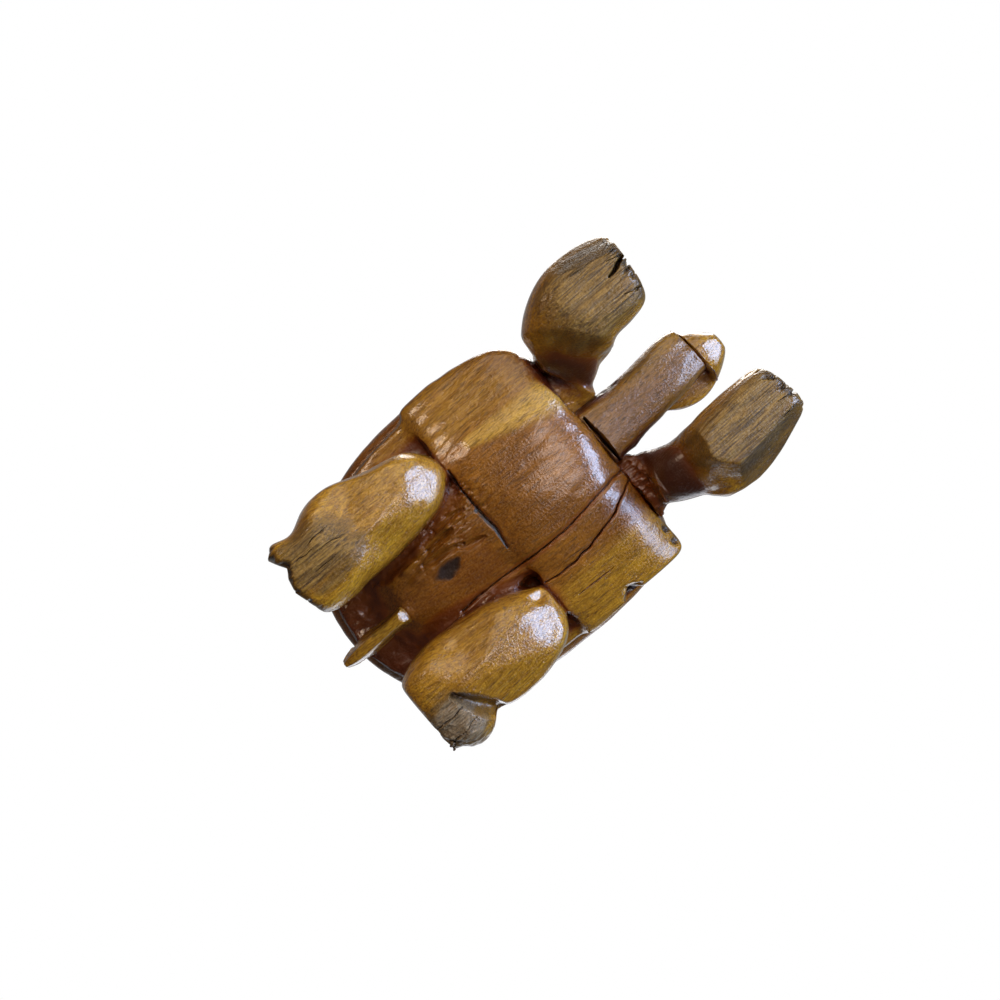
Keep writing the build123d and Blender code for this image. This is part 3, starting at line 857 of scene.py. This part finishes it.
SCUTE_DEPTH = 0.9


def new_tree(name, inputs):
    """A Geometry Nodes tree with named inputs and one geometry output."""
    tree = bpy.data.node_groups.new(name, "GeometryNodeTree")
    for label, kind in inputs.items():
        tree.interface.new_socket(label, in_out="INPUT", socket_type=f"NodeSocket{kind}")
    tree.interface.new_socket("Carved", in_out="OUTPUT", socket_type="NodeSocketGeometry")
    return tree


def finish_tree(tree, wood, nearest, inputs):
    """Sinks the wood by the distance to what is cut, and ends the tree."""
    fall = {
        "Value": nearest,
        "From Min": 0.0,
        "From Max": inputs["Half Width"],
        "To Min": inputs["Depth"],
        "To Max": 0.0,
    }
    deep = add(tree, "ShaderNodeMapRange", fall, interpolation_type="SMOOTHSTEP").outputs[0]
    exposed_wood = {"Name": "exposed"}
    open_wood = add(tree, "GeometryNodeInputNamedAttribute", exposed_wood, data_type="FLOAT").outputs[0]
    cut = add(tree, "ShaderNodeMath", {0: deep, 1: open_wood}, operation="MULTIPLY").outputs[0]
    into = add(tree, "ShaderNodeMath", {0: cut, 1: -1.0}, operation="MULTIPLY").outputs[0]
    outwards = add(tree, "GeometryNodeInputNormal").outputs[0]
    offset = add(tree, "ShaderNodeVectorMath", {0: outwards, "Scale": into}, operation="SCALE").outputs[0]
    carved = add(tree, "GeometryNodeSetPosition", {"Geometry": wood, "Offset": offset}).outputs[0]
    plain = add(tree, "GeometryNodeRealizeInstances", {"Geometry": carved}).outputs[0]
    done = add(tree, "GeometryNodeSetMaterial", {"Geometry": plain, "Material": inputs["Finish"]}).outputs[0]
    add(tree, "NodeGroupOutput", {"Carved": done})
    return tree


def stroke_tree():
    """Short knife strokes scattered over the open wood, along the grain."""
    sizes = {label: "Float" for label in ("Spacing", "Length", "Half Width", "Depth", "Turn")}
    tree = new_tree("knife_strokes", {"Wood": "Geometry", **sizes, "Seed": "Int", "Finish": "Material"})
    inputs = add(tree, "NodeGroupInput").outputs
    wood = inputs["Wood"]
    scatter = {"Mesh": wood, "Distance Min": inputs["Spacing"], "Density Max": 1e6, "Seed": inputs["Seed"]}
    scattered = add(tree, "GeometryNodeDistributePointsOnFaces", scatter, distribute_method="POISSON")
    spots = scattered.outputs["Points"]
    ahead = add(tree, "ShaderNodeMath", {0: inputs["Length"], 1: 0.5}, operation="MULTIPLY").outputs[0]
    behind = add(tree, "ShaderNodeMath", {0: inputs["Length"], 1: -0.5}, operation="MULTIPLY").outputs[0]
    ends = {
        "Start": add(tree, "ShaderNodeCombineXYZ", {"Y": behind}).outputs[0],
        "End": add(tree, "ShaderNodeCombineXYZ", {"Y": ahead}).outputs[0],
    }
    stroke = add(tree, "GeometryNodeCurvePrimitiveLine", ends).outputs[0]
    back_turn = add(tree, "ShaderNodeMath", {0: inputs["Turn"], 1: -1.0}, operation="MULTIPLY").outputs[0]
    turns = {2: back_turn, 3: inputs["Turn"], "Seed": inputs["Seed"]}
    turn = add(tree, "FunctionNodeRandomValue", turns).outputs[1]
    turned = add(tree, "ShaderNodeCombineXYZ", {"Z": turn}).outputs[0]
    rows = {"Points": spots, "Instance": stroke, "Rotation": turned}
    strokes = add(tree, "GeometryNodeInstanceOnPoints", rows).outputs[0]
    lines = add(tree, "GeometryNodeRealizeInstances", {"Geometry": strokes}).outputs[0]
    edges = add(tree, "GeometryNodeCurveToMesh", {"Curve": lines}).outputs[0]
    nearest = add(tree, "GeometryNodeProximity", {0: edges}, target_element="EDGES").outputs["Distance"]
    return finish_tree(tree, wood, nearest, inputs)


def scute_tree():
    """Grooves that follow a plan of lines over the shell, however high the shell stands over each."""
    sizes = {"Half Width": "Float", "Depth": "Float"}
    tree = new_tree("scute_grooves", {"Wood": "Geometry", "Plan": "Object", **sizes, "Finish": "Material"})
    inputs = add(tree, "NodeGroupInput").outputs
    plan = add(tree, "GeometryNodeObjectInfo", {"Object": inputs["Plan"]}).outputs["Geometry"]
    place = add(tree, "GeometryNodeInputPosition").outputs[0]
    flat = add(tree, "ShaderNodeVectorMath", {0: place, 1: (1.0, 1.0, 0.0)}, operation="MULTIPLY").outputs[0]
    probe = {0: plan, "Sample Position": flat}
    nearest = add(tree, "GeometryNodeProximity", probe, target_element="EDGES").outputs["Distance"]
    return finish_tree(tree, inputs["Wood"], nearest, inputs)


def run_tree(piece, tree, values):
    """Sets a tree's inputs on a piece and keeps what it makes as the piece's own mesh."""
    modifier = piece.modifiers.new(tree.name, "NODES")
    modifier.node_group = tree
    for item in tree.interface.items_tree:
        if item.in_out == "INPUT" and item.name in values:
            modifier[item.identifier] = values[item.name]
    settle(piece)


def cut_strokes(piece, node, finish):
    """Knife strokes over a whole piece."""
    values = {
        "Spacing": STROKE_SPACING * MM,
        "Length": STROKE_LENGTH * MM,
        "Half Width": STROKE_HALF_WIDTH * MM,
        "Depth": STROKE_DEPTH * MM,
        "Turn": STROKE_TURN,
        "Seed": PIECE_SEEDS[node],
        "Finish": finish,
    }
    run_tree(piece, stroke_nodes, values)


def cut_scutes(piece, finish):
    """Scute grooves over the shell. The lines' plan is drawn for this alone and then removed."""
    low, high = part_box("carapace")
    middle, half = (low + high) / 2, (high - low) / 2
    points, edges = [], []
    for line in SCUTE_LINES:
        for side in (-1, 1):
            first = len(points)
            points += [(middle.x + side * x * half.x, middle.y + y * half.y, 0) for x, y in line]
            edges += [(i, i + 1) for i in range(first, len(points) - 1)]
    mesh = bpy.data.meshes.new("scute_plan")
    mesh.from_pydata(points, edges, [])
    plan = new_piece("scute_plan", mesh)
    values = {"Plan": plan, "Half Width": SCUTE_HALF_WIDTH * MM, "Depth": SCUTE_DEPTH * MM, "Finish": finish}
    run_tree(piece, scute_nodes, values)
    bpy.data.objects.remove(plan)
    bpy.data.meshes.remove(mesh)


stroke_nodes = stroke_tree()
scute_nodes = scute_tree()

# Finishes
HONEY = colour("#a5691c")
CHESTNUT = colour("#7c4911")
RUSSET = colour("#562a08")
GOLD = colour("#cd9828")
BRIGHT = colour("#dcae4a")
BARE_PALE = colour("#a07b37")
BARE_DARK = colour("#452f12")
RAW_GREY = colour("#8f7f66")
GRIME_AND_SHADE = colour("#2b1d0d")
AMBER_SHADE = colour("#7a3c0a")
CREVICE_SHADE = colour("#461806")
STAIN_AND_SHADE_DARK = colour("#150602")
BROAD_TONE = (22, 44, 22)  # patches of lighter and darker heartwood
STREAK = (1.1, 30, 1.1)  # growth rings cut lengthwise
FIBRE = (0.5, 12, 0.5)  # fibres of bare grain
PORE = (0.4, 5.0, 0.4)  # open pores of the wood, seen as short dashes
SPECK = (0.4, 2.2, 0.4)  # dark flecks in the grain under the varnish
FLECK_TINT = colour("#6b5236")
GRIT = 0.7  # dust nibs and orange peel in brushed varnish


def per_mm(size):
    """The scale that makes a pattern repeat in a size in mm along x, y and z."""
    return tuple(1 / (s * MM) for s in size)


def varnished_hardwood():
    """Carved hardwood under brushed amber varnish: warm brown, glossy and slightly grainy, with painted shade
    in hollows."""
    material = bpy.data.materials.new("varnished_carved_hardwood")
    material.use_nodes = True
    tree = material.node_tree
    tree.nodes.clear()
    place = add(tree, "ShaderNodeTexCoord").outputs["Object"]

    def pattern(size, detail, low, high):
        """Noise of a size in mm, spread to run from 0 at low to 1 at high."""
        spot = add(tree, "ShaderNodeMapping", {"Vector": place, "Scale": per_mm(size)})
        noise = add(tree, "ShaderNodeTexNoise", {"Vector": spot.outputs[0], "Scale": 1.0, "Detail": detail})
        spread = {"Value": noise.outputs["Fac"], "From Min": low, "From Max": high}
        return add(tree, "ShaderNodeMapRange", spread).outputs[0]

    def kept(name):
        """A value kept at the vertices."""
        return add(tree, "ShaderNodeAttribute", attribute_name=name).outputs["Fac"]

    def times(a, b):
        return add(tree, "ShaderNodeMath", {0: a, 1: b}, operation="MULTIPLY").outputs[0]

    def over(under, top, share):
        """One colour laid over another by a share."""
        return add(tree, "ShaderNodeMix", {0: share, 6: under, 7: top}, data_type="RGBA").outputs[2]

    streak = pattern(STREAK, 4.0, 0.36, 0.66)
    pores = pattern(PORE, 2.0, 0.56, 0.72)
    grit = pattern((GRIT,) * 3, 3.0, 0.2, 0.8)
    hollow_shade, bare, grime_and_shade, stain_and_shade = [kept(name) for name in ("hollow_shade", "bare", "grime_and_shade", "stain_and_shade")]
    darkened_marks = add(tree, "ShaderNodeMath", {0: grime_and_shade, 1: stain_and_shade}, operation="MAXIMUM").outputs[0]
    dull = add(tree, "ShaderNodeMath", {0: bare, 1: darkened_marks}, operation="MAXIMUM").outputs[0]
    wood = over(HONEY, CHESTNUT, pattern(BROAD_TONE, 2.0, 0.35, 0.65))
    wood = over(wood, RUSSET, times(streak, 0.34))
    golden = over(GOLD, CHESTNUT, times(streak, 0.55))
    wood = over(wood, golden, kept("golden"))
    wood = over(wood, BRIGHT, times(kept("bright"), 0.5))
    sole = over(BARE_PALE, BARE_DARK, times(pattern(FIBRE, 3.0, 0.4, 0.66), 0.85))
    sole = over(sole, RAW_GREY, times(kept("raw"), 0.7))
    wood = over(wood, sole, bare)
    rim = add(tree, "ShaderNodeMath", {0: 1.0, 1: bare}, operation="SUBTRACT").outputs[0]
    wood = over(wood, BARE_DARK, times(times(rim, bare), 1.4))
    wood = over(wood, BARE_DARK, times(pores, 0.55))
    flecks = {0: times(pattern(SPECK, 3.0, 0.42, 0.66), 0.52), 6: wood, 7: FLECK_TINT}
    wood = add(tree, "ShaderNodeMix", flecks, data_type="RGBA", blend_type="MULTIPLY").outputs[2]
    # Painted shade in hollows: amber, then near black in crevices
    spread = {"Value": hollow_shade, "From Min": 0.15, "From Max": 0.6}
    wood = over(wood, AMBER_SHADE, add(tree, "ShaderNodeMapRange", spread).outputs[0])
    spread = {"Value": hollow_shade, "From Min": 0.45, "From Max": 0.95}
    wood = over(wood, CREVICE_SHADE, add(tree, "ShaderNodeMapRange", spread).outputs[0])
    # Grime, with painted shade on steep walls, the rear step, ankles and toe ends
    wood = over(wood, GRIME_AND_SHADE, grime_and_shade)
    # Stain, and painted shade in cracks, gaps, splits and holes
    wood = over(wood, STAIN_AND_SHADE_DARK, stain_and_shade)
    rough = {"Value": dull, "To Min": 0.22, "To Max": 0.5}
    coat = {"Value": dull, "To Min": 0.8, "To Max": 0.05}
    relief = add(tree, "ShaderNodeMath", {0: grit, 1: times(pores, -0.8)}, operation="ADD").outputs[0]
    bump = {"Height": relief, "Strength": 0.7, "Distance": 0.2 * MM}
    ripple = {"Height": grit, "Strength": 0.26, "Distance": 0.16 * MM}
    finish = {
        "Base Color": wood,
        "Roughness": add(tree, "ShaderNodeMapRange", rough).outputs[0],
        "IOR": 1.5,
        "Coat Weight": add(tree, "ShaderNodeMapRange", coat).outputs[0],
        "Coat Roughness": 0.1,
        "Coat Normal": add(tree, "ShaderNodeBump", ripple).outputs[0],
        "Normal": add(tree, "ShaderNodeBump", bump).outputs[0],
    }
    shader = add(tree, "ShaderNodeBsdfPrincipled", finish)
    add(tree, "ShaderNodeOutputMaterial", {"Surface": shader.outputs[0]})
    return material


def dowel_beech():
    """Plain turned beech rod without a finish: pale and dull, with fine grain along the rod."""
    material = bpy.data.materials.new("turned_beech")
    material.use_nodes = True
    tree = material.node_tree
    tree.nodes.clear()
    place = add(tree, "ShaderNodeTexCoord").outputs["Object"]
    spot = add(tree, "ShaderNodeMapping", {"Vector": place, "Scale": per_mm((0.8, 9, 0.8))})
    grain = add(tree, "ShaderNodeTexNoise", {"Vector": spot.outputs[0], "Scale": 1.0, "Detail": 3.0})
    tones = {0: grain.outputs["Fac"], 6: colour("#c9a36a"), 7: colour("#a87e48")}
    tone = add(tree, "ShaderNodeMix", tones, data_type="RGBA").outputs[2]
    shader = add(tree, "ShaderNodeBsdfPrincipled", {"Base Color": tone, "Roughness": 0.7, "IOR": 1.5})
    add(tree, "ShaderNodeOutputMaterial", {"Surface": shader.outputs[0]})
    return material


def carve_turtle(finish):
    """All the wooden pieces, each riding in its CAD node's place."""
    for node, piece in wooden.items():
        wear(piece, node)
        carve_surface(piece, node)
        if node in SOLES:
            bare_sole(piece, node)
        if node in CARVERS:
            CARVERS[node](piece)
        if node == "carapace":
            cut_scutes(piece, finish)
        cut_strokes(piece, node, finish)
        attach(piece, "root")
        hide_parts(node)


def fit_dowels(finish):
    """The hidden dowels keep their CAD shape and get their wood."""
    for node in DOWELS:
        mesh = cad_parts[node].data
        mesh.materials.clear()
        mesh.materials.append(finish)


# Stage
FLOOR_SIZE = 3.0  # metres
FLOOR_TONE = colour("#f1f0ee")
FLOOR_FADE = (0.15, 0.6)  # distances between which the floor goes over into the white air


def pale_floor():
    """A plain floor, seen from above only so that the carving's underside stays in view, and white far
    off."""
    half = FLOOR_SIZE / 2
    mesh = bpy.data.meshes.new("floor")
    corners = [(-half, -half, 0), (half, -half, 0), (half, half, 0), (-half, half, 0)]
    mesh.from_pydata(corners, [], [(0, 1, 2, 3)])
    floor = new_piece("floor", mesh)
    material = bpy.data.materials.new("matt_white_board")
    material.use_nodes = True
    tree = material.node_tree
    tree.nodes.clear()
    from_below = add(tree, "ShaderNodeNewGeometry").outputs["Backfacing"]
    seen = add(tree, "ShaderNodeLightPath").outputs["Is Camera Ray"]
    from_above = add(tree, "ShaderNodeMath", {0: 1.0, 1: from_below}, operation="SUBTRACT").outputs[0]
    shown = add(tree, "ShaderNodeMath", {0: seen, 1: from_above}, operation="MULTIPLY").outputs[0]
    clear = add(tree, "ShaderNodeBsdfTransparent").outputs[0]
    board = add(tree, "ShaderNodeBsdfDiffuse", {"Color": FLOOR_TONE}).outputs[0]
    place = add(tree, "ShaderNodeTexCoord").outputs["Object"]
    away = add(tree, "ShaderNodeVectorMath", {0: place}, operation="LENGTH").outputs["Value"]
    spread = {"Value": away, "From Min": FLOOR_FADE[0], "From Max": FLOOR_FADE[1]}
    fade = add(tree, "ShaderNodeMapRange", spread, interpolation_type="SMOOTHSTEP").outputs[0]
    air = add(tree, "ShaderNodeEmission", {"Color": colour("#ffffff"), "Strength": 1.0}).outputs[0]
    ground = add(tree, "ShaderNodeMixShader", {0: fade, 1: board, 2: air}).outputs[0]
    mixed = add(tree, "ShaderNodeMixShader", {0: shown, 1: clear, 2: ground}).outputs[0]
    add(tree, "ShaderNodeOutputMaterial", {"Surface": mixed})
    mesh.materials.append(material)


AIR_LIGHT = 0.1
MIRRORED_AIR = (0.04, 0.28)  # the air's light in reflections, from the side and from above


def studio_air():
    """White behind the carving, a soft even light all round, and a dimmer side below for reflections."""
    world = bpy.data.worlds.new("studio")
    bpy.context.scene.world = world
    world.use_nodes = True
    tree = world.node_tree
    tree.nodes.clear()
    path = add(tree, "ShaderNodeLightPath").outputs
    direction = add(tree, "ShaderNodeTexCoord").outputs["Generated"]
    height = add(tree, "ShaderNodeSeparateXYZ", {0: direction}).outputs["Z"]
    low, high = MIRRORED_AIR
    spread = {"Value": height, "From Min": 0.15, "From Max": 0.9, "To Min": low, "To Max": high}
    mirrored = add(tree, "ShaderNodeMapRange", spread).outputs[0]
    level = add(tree, "ShaderNodeMix", {0: path["Is Glossy Ray"], 2: AIR_LIGHT, 3: mirrored}).outputs[0]
    rays = {0: path["Is Camera Ray"], 1: path["Is Transmission Ray"]}
    behind = add(tree, "ShaderNodeMath", rays, operation="MAXIMUM").outputs[0]
    strength = add(tree, "ShaderNodeMix", {0: behind, 2: level, 3: 1.0}).outputs[0]
    air = add(tree, "ShaderNodeBackground", {"Color": colour("#ffffff"), "Strength": strength})
    add(tree, "ShaderNodeOutputWorld", {"Surface": air.outputs[0]})


# Lamps: place in metres, size, power in watts and tint
LAMPS = {
    "window": ((0.15, -0.56, -0.36), 0.33, 5.6, "#bcd5ff"),
    "window_left": ((0.37, -0.45, -0.2), 0.24, 1.5, "#bcd5ff"),
    "sky_below": ((-0.44, -0.3, -0.42), 0.5, 1.5, "#ffe8cc"),
    "glint_below": ((-0.43, 0.16, -0.37), 0.1, 0.5, "#ffe2c4"),
    "sheen_below": ((-0.02, -0.18, -0.62), 0.2, 0.7, "#ffe9de"),
    "key_above": ((-0.42, -0.46, 0.62), 0.5, 5.0, "#fffaf2"),
    "fill_above": ((0.5, 0.34, 0.5), 0.6, 2.4, "#f2f6ff"),
}
LAMP_TARGET = Vector((0, 0, 0.025))


def hang_lamps():
    for name, (place, size, power, tint) in LAMPS.items():
        lamp = bpy.data.lights.new(name, "AREA")
        lamp.size = size
        lamp.energy = power
        lamp.color = colour(tint)[:3]
        holder = bpy.data.objects.new(name, lamp)
        holder.location = place
        holder.rotation_euler = (LAMP_TARGET - holder.location).to_track_quat("-Z", "Y").to_euler()
        bpy.context.scene.collection.objects.link(holder)


# Camera: it looks straight up at the belly, turned so that the head points to the upper right
CAMERA_TURN = math.radians(49.08)
CAMERA_AXIS = (-4.8, 8.03)
CAMERA_LEVEL = -275.0
LENS = 36.0
SENSOR = 36.0


def set_camera():
    data = bpy.data.cameras.new("camera")
    data.lens = LENS
    data.sensor_width = SENSOR
    data.clip_start = MM
    camera = bpy.data.objects.new("camera", data)
    right = Vector((math.cos(CAMERA_TURN), -math.sin(CAMERA_TURN), 0))
    up = Vector((-math.sin(CAMERA_TURN), -math.cos(CAMERA_TURN), 0))
    back = right.cross(up)
    axes = Matrix((right, up, back)).transposed().to_4x4()
    place = Vector((*CAMERA_AXIS, CAMERA_LEVEL)) * MM
    camera.matrix_world = Matrix.Translation(place) @ axes
    bpy.context.scene.collection.objects.link(camera)
    bpy.context.scene.camera = camera


carve_turtle(varnished_hardwood())
fit_dowels(dowel_beech())
pale_floor()
studio_air()
hang_lamps()
set_camera()
bpy.context.scene.view_settings.view_transform = "Standard"
